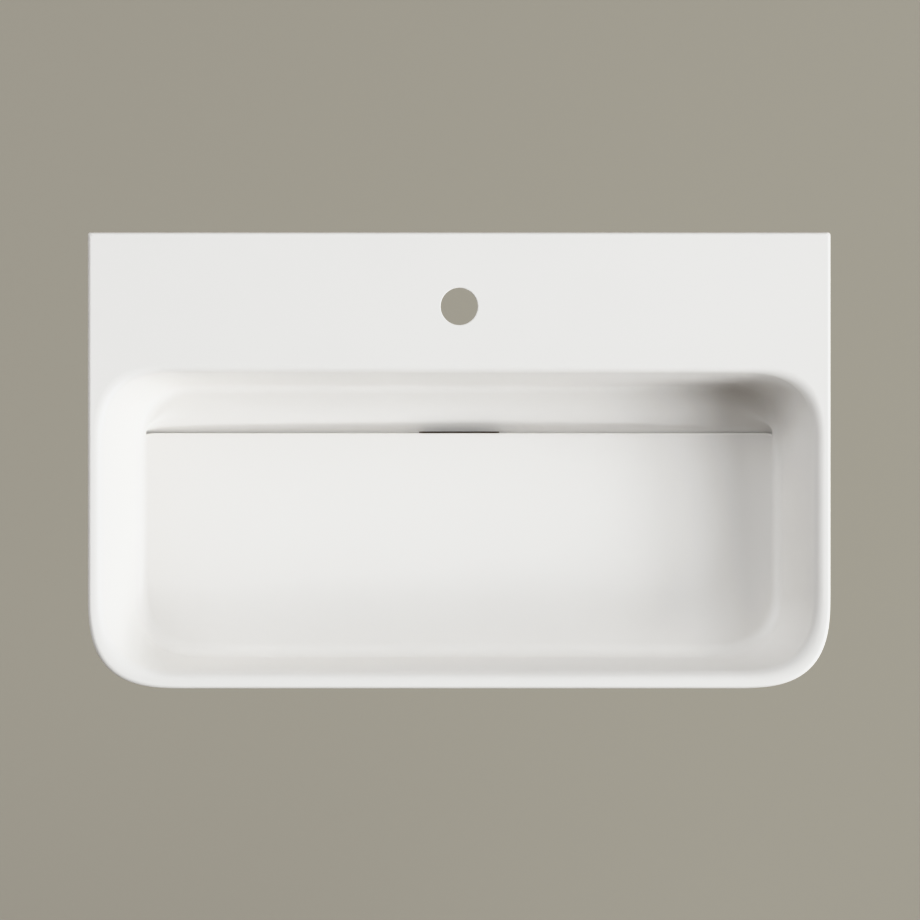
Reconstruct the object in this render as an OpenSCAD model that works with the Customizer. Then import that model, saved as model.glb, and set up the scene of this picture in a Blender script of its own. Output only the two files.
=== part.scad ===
// Wall-hung washbasin with a flat rear deck, one tap hole and a slot outlet
// hidden under the lip of the bowl floor.
// Sizes are in millimetres. The origin is on the wall, midway between the two
// fixing holes. +X is right, +Y goes into the wall and +Z is up.
// A depth is measured down from the rim, and a reach is measured out from the wall.

/* [Basin outline] */
// Overall width
basin_w = 700; // [620:5:800]
// Overall reach from the wall to the front edge
basin_reach = 430; // [420:5:480]
// Height from the lowest edge of the skirt to the rim
basin_h = 145; // [140:1:170]
// Length of each front corner, along both sides of it
corner_l = 92.5; // [80:0.5:110]
// Power of the front corners, where 2 is an ellipse
corner_power = 3; // [2.4:0.1:3.6]
// Radius of the edges between the rim and the outer faces
edge_r = 3; // [1:0.5:4]
// Radius of the upright corners at the wall
wall_corner_r = 3; // [2:0.5:6]

/* [Ceramic] */
// Thickness of the ceramic round the hollows
wall_t = 12; // [10:0.5:14]
// Thickness of the deck
deck_t = 14; // [10:1:18]
// Height of the upright band under the rim
rim_band = 16; // [10:1:24]
// Sideways lean of the side faces, per millimetre of height
side_lean = 0.56; // [0.48:0.02:0.6]
// Backward lean of the front face, per millimetre of height
front_lean = 0.42; // [0.36:0.02:0.46]
// Softness of the bend where the outer faces start to lean
lean_bend = 14; // [8:1:20]
// Radius of the upright corners of the hollows
hollow_corner_r = 18; // [12:1:24]

/* [Bowl] */
// Reach of the flat deck behind the bowl
deck_reach = 125; // [118:1:135]
// Width of the rim beside the bowl
rim_side = 5; // [4:0.5:8]
// Width of the rim in front of the bowl
rim_front = 5.5; // [4:0.5:10]
// Horizontal run of the side walls of the bowl
side_run = 52; // [46:1:56]
// Horizontal run of the front wall of the bowl
front_run = 36.5; // [32:0.5:42]
// Horizontal run of the rear wall of the bowl
rear_run = 28; // [24:1:36]
// Radius of the roll from the rim into the bowl
bowl_roll_r = 12; // [6:0.5:14]
// Radius of the roll from the deck into the bowl
deck_roll_r = 8; // [4:0.5:10]
// Radius between the front and side walls and the floor of the bowl
bowl_fillet_r = 14; // [8:0.5:18]
// Radius between the rear wall and the floor of the bowl
rear_fillet_r = 9; // [6:1:20]
// Length of the front corners of the bowl at the rim
bowl_front_corner = 85; // [75:1:95]
// Length of the rear corners of the bowl at the rim
bowl_rear_corner = 78; // [70:1:95]
// Length of the front corners of the bowl floor
floor_front_corner = 48; // [40:1:56]
// Length of the rear corners of the bowl floor
floor_rear_corner = 48; // [36:1:60]
// Power of the corners of the bowl floor, where 2 is an ellipse
floor_corner_power = 2.2; // [2:0.1:3]
// Depth of the bowl floor at its lip
lip_depth = 88; // [84:1:92]
// Fall of the bowl floor from the front wall to the lip
floor_fall = 14; // [10:1:18]

/* [Lip and trough] */
// Reach of the lip of the floor
lip_reach = 189.5; // [184:0.5:192]
// Length of the lip
lip_l = 590; // [560:2:592]
// Radius of the upper edge of the lip
lip_r = 2; // [1:0.25:2.5]
// Thickness of the lip at its edge
lip_t = 5; // [4:0.5:6]
// Drop under the lip at its two ends
drop_end = 8; // [7:0.5:10]
// Drop under the lip at the middle
drop_mid = 15.5; // [13:0.5:17]
// How far the groove runs under the lip
groove_l = 4.5; // [3:0.5:6]
// Depth of the step from the trough down to the groove
groove_step = 1.2; // [0.4:0.2:2]
// How far that step stands behind the lip
groove_lead = 1.2; // [0:0.2:2]
// Reach of the crease where the trough starts
crease_reach = 164; // [160:1:170]
// Length of the rounded rear corners of the trough
crease_corner = 40; // [30:1:60]
// How far the lip's edge hooks forward at its two ends
lip_hook = 1; // [0:0.5:3]
// Length of that hook along the lip
lip_hook_l = 9; // [5:1:15]

/* [Outlet] */
// Width of the slot under the lip
slot_w = 75; // [66:1:84]
// Height of the slot
slot_h = 13.2; // [8:0.1:13.4]
// How far the floor of the slot lies below the trough
slot_drop = 1.7; // [0:0.1:4]
// How far the slot starts behind the lip
slot_lead = 1.5; // [0:0.5:3]
// Downward slope of the slot, in degrees
slot_slope = 5; // [4:0.5:10]
// Reach of the outlet's axis
outlet_reach = 235; // [230:1:240]
// Diameter of the sump round the outlet
sump_d = 80; // [72:1:84]
// Depth of the sump floor
sump_depth = 118; // [116:1:122]
// Diameter of the outlet hole
outlet_d = 46; // [44:0.5:50]

/* [Tap hole] */
// Diameter of the tap hole
tap_d = 35; // [32:0.5:36]
// Reach of the tap hole's axis
tap_reach = 70; // [50:1:80]

/* [Wall fixing] */
// Distance between the two fixing holes
fix_spacing = 280; // [200:5:360]
// Depth of the fixing holes under the rim
fix_depth = 100; // [80:1:110]
// Diameter of the holes in the ceramic
fix_hole_d = 20; // [18:0.5:24]
// Diameter of the bore in each bush, for an M10 stud
bush_bore_d = 11; // [10.5:0.25:12]
// Diameter of the collar of each bush
bush_collar_d = 34; // [28:1:40]
// Thickness of the collar of each bush
bush_collar_t = 3; // [2:0.5:5]

/* [Waste] */
// Outer diameter of the G1 1/4 tail
tail_d = 41.91; // [40:0.01:43]
// Diameter of the bore of the tail
tail_bore_d = 35; // [33:0.5:36]
// Length of the tail
tail_l = 72; // [60:1:90]
// Gap between the backnut and the groove where the trap's thread ends
tail_groove_gap = 2; // [1:0.5:4]
// Width of that groove
tail_groove_w = 2.5; // [2:0.5:4]
// Diameter of the tail in that groove
tail_groove_d = 38.9; // [38:0.1:40]
// Diameter of the strainer's flange
flange_d = 62; // [56:1:64]
// Thickness of the strainer's flange
flange_t = 3; // [2:0.5:4]
// Length of the strainer's spigot
spigot_l = 8; // [6:0.5:9]
// Wall of the strainer's spigot
spigot_t = 2.4; // [2:0.1:3]
// Diameter of the small holes in the strainer
drain_hole_d = 7; // [5:0.5:7.5]
// Thickness of the seal under the strainer
strainer_seal_t = 2.5; // [1.5:0.5:4]
// Diameter of the seal under the basin
tail_seal_d = 62; // [56:1:66]
// Thickness of the seal under the basin
tail_seal_t = 6; // [4:0.5:8]
// Height of the seal's cone inside the outlet hole
tail_seal_cone = 4; // [2:0.5:5]
// Diameter of the friction washer
washer_d = 60; // [54:1:64]
// Thickness of the friction washer
washer_t = 1.5; // [1:0.25:3]
// Width across the flats of the backnut
nut_af = 52; // [48:1:56]
// Height of the backnut
nut_h = 10; // [8:1:14]
// Diameter of the backnut's flange
nut_flange_d = 60; // [56:1:64]
// Thickness of the backnut's flange
nut_flange_t = 3; // [2:0.5:4]

/* [Clearances] */
// Radial clearance of the bushes in the ceramic
bush_clear = 0.2; // [0.1:0.05:0.5]
// Radial clearance of the rings and the nut on the tail
tail_clear = 0.1; // [0.05:0.05:0.3]
// Radial clearance of the strainer's spigot in the tail
spigot_clear = 0.1; // [0.05:0.05:0.3]
// Gap between the top of the tail and the strainer's flange
tail_gap = 0.6; // [0.2:0.1:2]

/* [Hidden] */
$fn = 96;

// Points on each corner of an outline, and steps on each bend of a profile
corner_steps = 9;
hollow_corner_steps = 4;
bend_steps = 4;
wall_steps = 6;
trough_steps = 24;
// How far a cutter runs past the face it opens
past = 6;
// How much shorter the front corners are at the foot of the skirt
corner_ease = 20;
// Lengths of the bends at the foot of the front face and at the skirt
foot_bend = 22;
skirt_bend = 16;
// Extra reach of the skirt past the boss, and its backward lean
skirt_room = 3;
skirt_lean = 4;
// Inset of the seal's two edges from the strainer's flange and the outlet
seal_inset = 0.5;

rim_z = fix_depth;
half_w = basin_w / 2;
floor_front_reach = basin_reach - rim_front - front_run;
floor_slope = floor_fall / (floor_front_reach - lip_reach);
sump_r = sump_d / 2;
skirt_reach = outlet_reach + sump_r + wall_t + skirt_room;
outlet_depth = sump_depth + wall_t;

// Depth of the floor plane at a reach
function floor_depth(reach) = lip_depth - floor_slope * (reach - lip_reach);

// Inset of a leaning face at a depth
function lean_arm(d) = (norm([d - rim_band, lean_bend]) + d - rim_band) / 2;
function lean_inset(lean, d) = lean * (lean_arm(d) - lean_arm(0));

// Signed power, for superellipses
function spow(v, p) = sign(v) * pow(abs(v), p);

// One corner of an outline: each point is [x, y, weight of front or rear]
function corner(cx, cy, size, power, start, steps) = [
    for (k = [0 : steps])
        let (a = start + 90 * k / steps)
        [cx + size * spow(cos(a), 2 / power),
         cy + size * spow(sin(a), 2 / power),
         sin(a) * sin(a)]
];

// Closed outline, counter-clockwise seen from above, as [x, y, front, rear]
function outline(a, rear, front, rear_c, rear_p, front_c, front_p, steps) = concat(
    [for (p = corner(a - front_c, front + front_c, front_c, front_p, -90, steps)) [p.x, p.y, p.z, 0]],
    [for (p = corner(a - rear_c, rear - rear_c, rear_c, rear_p, 0, steps)) [p.x, p.y, 0, p.z]],
    [for (p = corner(rear_c - a, rear - rear_c, rear_c, rear_p, 90, steps)) [p.x, p.y, 0, p.z]],
    [for (p = corner(front_c - a, front + front_c, front_c, front_p, 180, steps)) [p.x, p.y, p.z, 0]]
);

// Quadratic bend from a to c round the corner v, without its first point
function bend(a, v, c, steps) = [
    for (k = [1 : steps])
        let (s = k / steps)
        (1 - s) * (1 - s) * a + 2 * s * (1 - s) * v + s * s * c
];

// Point at a distance from v towards w
function toward(v, w, dist) = v + dist * (w - v) / norm(w - v);

// Solid skin through a stack of rings with the same number of points. An end
// whose outline bends inward needs its own faces, listed for the first ring.
module loft(rings, end_faces = undef) {
    n = len(rings[0]);
    top = len(rings) - 1;
    ends = is_undef(end_faces) ? [[for (i = [0 : n - 1]) i]] : end_faces;
    skin = [
        for (j = [0 : top - 1], i = [0 : n - 1], half = [0, 1])
            let (a = j * n + i, b = j * n + (i + 1) % n)
            half == 0 ? [a, a + n, b + n] : [a, b + n, b]
    ];
    far_ends = [for (f = ends) [for (i = [len(f) : -1 : 1]) top * n + f[i % len(f)]]];
    polyhedron(points = [for (r = rings) each r], faces = concat(ends, skin, far_ends));
}

// Outer face: each station is [front inset, side inset, depth]
under_depth = floor_depth(floor_front_reach) + wall_t;
front_foot = [lean_inset(front_lean, under_depth), under_depth];
skirt_top = [basin_reach - skirt_reach, floor_depth(skirt_reach) + wall_t];
skirt_foot = [basin_reach - skirt_reach + skirt_lean, basin_h];
wall_end = under_depth - foot_bend;

function outer_station(p) = [p.x, lean_inset(side_lean, p.y), p.y];
function edge_station(k) =
    let (a = 90 * k / bend_steps)
    [edge_r * (1 - sin(a)), edge_r * (1 - sin(a)), edge_r * (1 - cos(a))];

outer_stations = concat(
    [for (k = [0 : bend_steps]) edge_station(k)],
    [for (k = [1 : wall_steps])
        let (d = edge_r + (wall_end - edge_r) * k / wall_steps)
        outer_station([lean_inset(front_lean, d), d])],
    [for (p = bend([lean_inset(front_lean, wall_end), wall_end], front_foot,
                   toward(front_foot, skirt_top, foot_bend), bend_steps)) outer_station(p)],
    [outer_station(toward(skirt_top, front_foot, skirt_bend))],
    [for (p = bend(toward(skirt_top, front_foot, skirt_bend), skirt_top,
                   toward(skirt_top, skirt_foot, skirt_bend), bend_steps)) outer_station(p)],
    [outer_station(skirt_foot)]
);

function outer_ring(s) = [
    for (p = outline(half_w - s[1], -min(s[0], edge_r * (s[2] < edge_r ? 1 : 0)),
                     s[0] - basin_reach, wall_corner_r, 2,
                     corner_l - corner_ease * s[2] / basin_h, corner_power, corner_steps))
        [p.x, p.y, rim_z - s[2]]
];

// Wall of the bowl: a roll, a straight slope and a hollow, as [inset, depth]
function wall_angle(run, depth, radii) =
    atan2(depth - radii, run) + asin(radii / norm([run, depth - radii]));
function bowl_wall(run, depth, roll, fillet) =
    let (phi = wall_angle(run, depth, roll + fillet),
         a = [roll * sin(phi), roll * (1 - cos(phi))],
         b = [run - fillet * sin(phi), depth - fillet * (1 - cos(phi))])
    concat(
        [for (k = [0 : bend_steps])
            let (t = phi * k / bend_steps)
            [roll * sin(t), roll * (1 - cos(t))]],
        [for (k = [1 : wall_steps - 1]) a + (b - a) * k / wall_steps],
        [for (k = [0 : bend_steps])
            let (t = phi * (1 - k / bend_steps))
            [run - fillet * sin(t), depth - fillet * (1 - cos(t))]]
    );

side_wall = bowl_wall(side_run, lip_depth, bowl_roll_r, bowl_fillet_r);
front_wall = bowl_wall(front_run, floor_depth(floor_front_reach), bowl_roll_r, bowl_fillet_r);
rear_depth = floor_depth(deck_reach + rear_run);
rear_wall = bowl_wall(rear_run, rear_depth, deck_roll_r, rear_fillet_r);

function mix(a, b, t) = a + (b - a) * t;
function bowl_ring(j) =
    let (s = side_wall[j], f = front_wall[j], r = rear_wall[j], t = s.x / side_run,
         power = mix(corner_power, floor_corner_power, t),
         share_s = s.y / lip_depth,
         share_f = f.y / floor_depth(floor_front_reach),
         share_r = r.y / rear_depth)
    [for (p = outline(half_w - rim_side - s.x, -deck_reach - r.x,
                      rim_front + f.x - basin_reach,
                      mix(bowl_rear_corner, floor_rear_corner, t), power,
                      mix(bowl_front_corner, floor_front_corner, t), power,
                      corner_steps))
        [p.x, p.y,
         rim_z - floor_depth(-p.y) * (share_s + p[2] * (share_f - share_s) + p[3] * (share_r - share_s))]
    ];

// The outer face and the bowl are one skin that turns over at the rim
module shell() {
    last = len(outer_stations) - 1;
    loft(concat(
        [for (j = [last : -1 : 0]) outer_ring(outer_stations[j])],
        [for (j = [0 : len(side_wall) - 1]) bowl_ring(j)]
    ));
}

// Depth of the trough where it meets the lip
function trough_depth(x) = lip_depth + mix(drop_mid, drop_end, abs(x) / (lip_l / 2));

// Reach of the crease at the rear of the trough
function trough_crease(x) =
    let (t = max(0, (abs(x) - lip_l / 2 + crease_corner) / crease_corner))
    mix(crease_reach, lip_reach - lip_r, 1 - sqrt(max(0, 1 - t * t)));

// Reach of the lip's edge, which hooks forward at both ends
function lip_edge(x) =
    let (t = max(0, (abs(x) - lip_l / 2 + lip_hook_l) / lip_hook_l))
    lip_reach + lip_hook * t * t;

// Section of the trough, the groove and the lip's edge at one place along the lip
function trough_section(x) =
    let (c = [-trough_crease(x), -floor_depth(trough_crease(x))],
         lip = lip_edge(x),
         low = [groove_lead - lip, -trough_depth(x)],
         nose = [for (k = [1 : 3])
             let (a = 30 * k)
             [-lip - lip_r * (1 - sin(a)), -lip_depth - lip_r * (1 - cos(a))]],
         sec = concat(
             [c + (c - low) * 0.2, [nose[0].x, past - lip_depth]],
             nose,
             [[-lip, -lip_depth - lip_t],
              [-lip - groove_l, -lip_depth - lip_t],
              [-lip - groove_l, low.y - groove_step],
              [low.x, low.y - groove_step],
              low]))
    [for (p = sec) [x, p.x, rim_z + p.y]];

// Faces that close an end of the trough: the space over it, then the groove
trough_end = [[0, 1, 2, 3, 4, 5], [0, 5, 9], [5, 6, 7, 8, 9]];

module trough() {
    loft([for (k = [0 : trough_steps]) trough_section(lip_l / 2 * sin(180 * k / trough_steps - 90))],
         trough_end);
}

// Upright ring of a hollow: half width from the outer side face at that depth
function hollow_ring(rear, front, depth) = [
    for (p = outline(half_w - lean_inset(side_lean, depth) - wall_t, -rear, -front,
                     hollow_corner_r, 2, hollow_corner_r, 2, hollow_corner_steps))
        [p.x, p.y, rim_z - depth]
];

rib_reach = lip_reach + groove_l + wall_t;
hollow_front = skirt_reach - wall_t;
rib_depth = trough_depth(0) + wall_t;
// Foot of the rear wall, and the reach of the hollow's turn under its fillet
rear_foot = deck_reach + rear_run;
rear_turn = (rear_fillet_r + wall_t) * cos(45);

// Hollow behind and below the bowl, open downward
module rear_hollow() {
    loft([
        hollow_ring(wall_t, hollow_front, basin_h + past),
        hollow_ring(wall_t, hollow_front, rib_depth + 0.5),
        hollow_ring(wall_t, rib_reach, rib_depth),
        hollow_ring(wall_t, lip_reach - slot_lead, rib_depth - 1),
        hollow_ring(wall_t, rear_foot, rear_depth + wall_t),
        hollow_ring(wall_t, rear_foot - rear_turn, rear_depth - rear_fillet_r + rear_turn),
        hollow_ring(wall_t, rear_foot - rear_fillet_r - wall_t, rear_depth - rear_fillet_r),
        hollow_ring(wall_t, deck_reach + deck_roll_r - wall_t, deck_t)
    ]);
}

// Hollow under the floor, in front of the trough
module front_hollow() {
    base = hollow_ring(rib_reach, hollow_front, rib_depth + past / 2);
    ceiling = hollow_ring(rib_reach, hollow_front, floor_depth(rib_reach) + wall_t);
    loft([
        base,
        [for (p = ceiling) [p.x, p.y, rim_z - floor_depth(-p.y) - wall_t]]
    ]);
}

// Places a child on the outlet's axis, with its base at a depth
module at_outlet(depth) {
    translate([0, -outlet_reach, rim_z - depth]) children();
}

// Places a child at both fixing holes, with +Z turned into the wall
module at_fixings() {
    for (side = [-1, 1])
        translate([side * fix_spacing / 2, 0, rim_z - fix_depth]) rotate([-90, 0, 0]) children();
}

sump_roof = floor_depth(outlet_reach) + wall_t;

module outlet_boss() {
    at_outlet(outlet_depth) cylinder(r = sump_r + wall_t, h = outlet_depth - sump_roof + wall_t / 2);
}

module sump() {
    at_outlet(sump_depth) cylinder(r = sump_r, h = sump_depth - sump_roof);
    at_outlet(outlet_depth + past) cylinder(d = outlet_d, h = wall_t + 2 * past);
}

// Slot with round ends that runs down from the edge of the lip into the sump
module outlet_slot() {
    slot_l = outlet_reach - lip_reach - groove_l;
    floor_z = rim_z - trough_depth(0) - groove_step - slot_drop;
    translate([0, slot_lead - lip_reach, floor_z + slot_h / 2])
        rotate([90 + slot_slope, 0, 0])
            linear_extrude(slot_l) {
                square([slot_w - slot_h, slot_h], center = true);
                for (side = [-1, 1]) translate([side * (slot_w - slot_h) / 2, 0]) circle(d = slot_h);
            }
}

module basin_body() {
    color([0.95, 0.95, 0.93])
        difference() {
            union() {
                difference() {
                    shell();
                    rear_hollow();
                    front_hollow();
                }
                outlet_boss();
            }
            trough();
            sump();
            outlet_slot();
            translate([0, -tap_reach, rim_z - deck_t - past]) cylinder(d = tap_d, h = deck_t + 2 * past);
            at_fixings() translate([0, 0, -wall_t - past]) cylinder(d = fix_hole_d, h = wall_t + 2 * past);
        }
}

// Tube turned about Z, from its base
module tube(outer, inner, h) {
    difference() {
        cylinder(d = outer, h = h);
        translate([0, 0, -1]) cylinder(d = inner, h = h + 2);
    }
}

module fixing_bushes() {
    color([0.88, 0.88, 0.85])
        at_fixings()
            translate([0, 0, -wall_t])
                difference() {
                    union() {
                        cylinder(d = fix_hole_d - 2 * bush_clear, h = wall_t);
                        translate([0, 0, -bush_collar_t]) cylinder(d = bush_collar_d, h = bush_collar_t);
                    }
                    translate([0, 0, -bush_collar_t - 1])
                        cylinder(d = bush_bore_d, h = wall_t + bush_collar_t + 2);
                }
}

flange_depth = sump_depth - strainer_seal_t;
spigot_d = tail_bore_d - 2 * spigot_clear;
drain_pitch_r = (spigot_d / 2 - spigot_t) * 0.66;

module waste_strainer() {
    color([0.80, 0.81, 0.82])
        at_outlet(flange_depth)
            difference() {
                union() {
                    cylinder(d1 = flange_d, d2 = flange_d - flange_t, h = flange_t);
                    translate([0, 0, -spigot_l]) cylinder(d = spigot_d, h = spigot_l + 0.5);
                }
                translate([0, 0, -spigot_l - 1]) cylinder(d = spigot_d - 2 * spigot_t, h = spigot_l + 1);
                cylinder(d = drain_hole_d, h = 3 * flange_t, center = true);
                for (k = [0 : 5])
                    rotate(60 * k) translate([drain_pitch_r, 0, 0])
                        cylinder(d = drain_hole_d, h = 3 * flange_t, center = true);
            }
}

module strainer_seal() {
    color([0.16, 0.16, 0.17])
        at_outlet(sump_depth)
            tube(flange_d - 2 * seal_inset, outlet_d + 2 * seal_inset, strainer_seal_t);
}

tail_top = flange_depth + tail_gap;
ring_bore = tail_d + 2 * tail_clear;
washer_depth = outlet_depth + tail_seal_t + washer_t;
groove_depth = washer_depth + nut_h + tail_groove_gap;

// The groove parts the backnut's thread from the trap's thread
module waste_tail() {
    color([0.78, 0.79, 0.80])
        difference() {
            at_outlet(tail_top + tail_l) tube(tail_d, tail_bore_d, tail_l);
            at_outlet(groove_depth + tail_groove_w)
                tube(tail_d + 2 * past, tail_groove_d, tail_groove_w);
        }
}

module tail_seal() {
    color([0.14, 0.14, 0.15])
        at_outlet(outlet_depth + tail_seal_t)
            difference() {
                union() {
                    cylinder(d = tail_seal_d, h = tail_seal_t);
                    translate([0, 0, tail_seal_t])
                        cylinder(d1 = outlet_d - 0.6, d2 = ring_bore + 1, h = tail_seal_cone);
                }
                translate([0, 0, -1]) cylinder(d = ring_bore, h = tail_seal_t + tail_seal_cone + 2);
            }
}

module friction_washer() {
    color([0.86, 0.87, 0.84])
        at_outlet(washer_depth) tube(washer_d, ring_bore, washer_t);
}

module waste_backnut() {
    color([0.78, 0.79, 0.80])
        at_outlet(washer_depth + nut_h)
            difference() {
                union() {
                    cylinder(d = nut_af / cos(30), h = nut_h, $fn = 6);
                    translate([0, 0, nut_h - nut_flange_t]) cylinder(d = nut_flange_d, h = nut_flange_t);
                }
                translate([0, 0, -1]) cylinder(d = ring_bore, h = nut_h + 2);
            }
}

basin_body();
fixing_bushes();
waste_strainer();
strainer_seal();
waste_tail();
tail_seal();
friction_washer();
waste_backnut();
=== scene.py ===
"""Wall-hung washbasin with a slot outlet, dressed for a plain studio picture.

Sizes in the classes are millimetres, and meshes are made in metres. The origin
is on the wall, midway between the two fixing holes: +X is right, +Y goes into
the wall and +Z is up. A depth is measured down from the rim, and a reach is
measured out from the wall.
"""

import logging
import math
from dataclasses import dataclass
from enum import Enum
from typing import Any, Callable, NamedTuple, Sequence

import bmesh
import bpy
from mathutils import Euler, Matrix, Vector


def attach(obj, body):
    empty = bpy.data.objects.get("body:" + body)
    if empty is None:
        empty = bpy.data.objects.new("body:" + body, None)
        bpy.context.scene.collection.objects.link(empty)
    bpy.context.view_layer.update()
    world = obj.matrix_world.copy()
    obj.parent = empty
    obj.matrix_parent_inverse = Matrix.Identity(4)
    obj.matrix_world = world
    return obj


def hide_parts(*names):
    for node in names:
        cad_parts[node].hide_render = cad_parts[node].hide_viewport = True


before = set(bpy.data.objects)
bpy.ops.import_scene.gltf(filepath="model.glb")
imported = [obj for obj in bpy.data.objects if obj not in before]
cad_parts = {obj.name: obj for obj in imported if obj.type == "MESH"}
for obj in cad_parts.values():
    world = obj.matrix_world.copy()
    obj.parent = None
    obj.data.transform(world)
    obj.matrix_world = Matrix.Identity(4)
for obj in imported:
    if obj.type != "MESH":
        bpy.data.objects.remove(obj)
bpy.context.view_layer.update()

MM = 0.001
BODY = "root"
LOG = logging.getLogger("washbasin")

Colour = tuple[float, float, float]
Flat = tuple[float, float]
Point = tuple[float, float, float]
Ring = list[Point]


class Slot(Enum):
    """Material slots of the record."""

    CERAMIC = "glazed_ceramic"
    PLASTIC = "white_plastic"
    CHROME = "chromed_brass"
    RUBBER = "seal_rubber"
    NYLON = "washer_nylon"


class Cut(Enum):
    """How a tool mesh changes a blank."""

    REMOVE = "DIFFERENCE"
    ADD = "UNION"
    KEEP_COMMON = "INTERSECT"


# Shader maths


class Wire:
    """An output socket that adds Math nodes when it is used in an expression."""

    def __init__(self, board: "NodeBoard", socket: bpy.types.NodeSocket | None) -> None:
        """Wrap a socket.

        Args:
            board: The node tree that the socket belongs to.
            socket: The output socket, or None for a node without one.
        """
        self.board = board
        self.socket = socket

    def _math(self, operation: str, first: Any, second: Any = 0.0) -> "Wire":
        """Add a Math node.

        Args:
            operation: The node's operation.
            first: Wire or number for the first input.
            second: Wire or number for the second input.

        Returns:
            The node's result.
        """
        settings = {"operation": operation}
        return self.board.node("ShaderNodeMath", settings, {0: first, 1: second})

    def __add__(self, other: Any) -> "Wire":
        """Sum."""
        return self._math("ADD", self, other)

    def __radd__(self, other: Any) -> "Wire":
        """Reflected sum."""
        return self._math("ADD", other, self)

    def __sub__(self, other: Any) -> "Wire":
        """Difference."""
        return self._math("SUBTRACT", self, other)

    def __rsub__(self, other: Any) -> "Wire":
        """Reflected difference."""
        return self._math("SUBTRACT", other, self)

    def __mul__(self, other: Any) -> "Wire":
        """Product."""
        return self._math("MULTIPLY", self, other)

    def __rmul__(self, other: Any) -> "Wire":
        """Reflected product."""
        return self._math("MULTIPLY", other, self)

    def __truediv__(self, other: Any) -> "Wire":
        """Quotient."""
        return self._math("DIVIDE", self, other)

    def step(self, low: float, high: float) -> "Wire":
        """Smooth step from 0 at one value to 1 at another.

        Args:
            low: Value that gives 0.
            high: Value that gives 1.

        Returns:
            The stepped value.
        """
        settings = {"interpolation_type": "SMOOTHSTEP"}
        sockets = {0: self, 1: low, 2: high}
        return self.board.node("ShaderNodeMapRange", settings, sockets)


class NodeBoard:
    """The node tree of one material."""

    def __init__(self, name: str) -> None:
        """Start an empty material.

        Args:
            name: Name of the material.
        """
        self.material = bpy.data.materials.new(name)
        self.material.use_nodes = True
        self.tree = self.material.node_tree
        self.tree.nodes.clear()

    def node(self, kind: str, settings: dict[str, Any] | None = None,
             sockets: dict[Any, Any] | None = None, output: Any = 0) -> Wire:
        """Add one node.

        Args:
            kind: Type of the node.
            settings: Properties to set first, such as a Math node's operation.
            sockets: Value or wire of each input, by name or number.
            output: Name or number of the output to return.

        Returns:
            The chosen output.
        """
        made = self.tree.nodes.new(kind)
        for key, value in (settings or {}).items():
            setattr(made, key, value)
        for key, value in (sockets or {}).items():
            if isinstance(value, Wire):
                self.tree.links.new(value.socket, made.inputs[key])
            else:
                made.inputs[key].default_value = value
        return Wire(self, made.outputs[output] if made.outputs else None)

    def place(self) -> Wire:
        """Position in the part's own frame, in metres."""
        return self.node("ShaderNodeTexCoord", output="Object")

    def axis(self, name: str) -> Wire:
        """One coordinate of the position, in metres.

        Args:
            name: X, Y or Z.

        Returns:
            The coordinate.
        """
        return self.node("ShaderNodeSeparateXYZ", None, {0: self.place()}, name)

    def noise(self, size_mm: float, detail: float = 2.0, roughness: float = 0.5,
              stretch: Point = (1.0, 1.0, 1.0)) -> Wire:
        """Cloudy noise from 0 to 1.

        Args:
            size_mm: Rough size of one patch in millimetres.
            detail: Octaves of finer noise.
            roughness: Share of the finer noise.
            stretch: How much finer the noise is along X, Y and Z.

        Returns:
            The noise value.
        """
        settings = {"operation": "MULTIPLY"}
        where = self.node("ShaderNodeVectorMath", settings, {0: self.place(), 1: stretch})
        sockets = {"Vector": where, "Scale": 1.0 / (size_mm * MM), "Detail": detail,
                   "Roughness": roughness}
        return self.node("ShaderNodeTexNoise", None, sockets)

    def tint(self, share: Any, start: Any, end: Any) -> Wire:
        """Mix two colours.

        Args:
            share: Share of the second colour.
            start: First colour, a wire or a value.
            end: Second colour, a wire or a value.

        Returns:
            The mixed colour.
        """
        colours = [c if isinstance(c, Wire) else (*c, 1.0) for c in (start, end)]
        sockets = {0: share, 6: colours[0], 7: colours[1]}
        return self.node("ShaderNodeMix", {"data_type": "RGBA"}, sockets, 2)

    def bump(self, height: Wire, depth_mm: float, under: Wire | None = None) -> Wire:
        """Relief for a shader's normal.

        Args:
            height: Height from 0 to 1.
            depth_mm: Depth of the relief in millimetres.
            under: Relief to build on.

        Returns:
            The new normal.
        """
        sockets = {"Strength": 1.0, "Distance": depth_mm * MM, "Height": height}
        if under is not None:
            sockets["Normal"] = under
        return self.node("ShaderNodeBump", None, sockets)

    def finish(self, sockets: dict[str, Any]) -> bpy.types.Material:
        """Close the material with one principled shader.

        Args:
            sockets: Value or wire of each of the shader's inputs.

        Returns:
            The finished material.
        """
        shader = self.node("ShaderNodeBsdfPrincipled", None, sockets, "BSDF")
        self.node("ShaderNodeOutputMaterial", None, {"Surface": shader})
        return self.material


# Finishes


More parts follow.
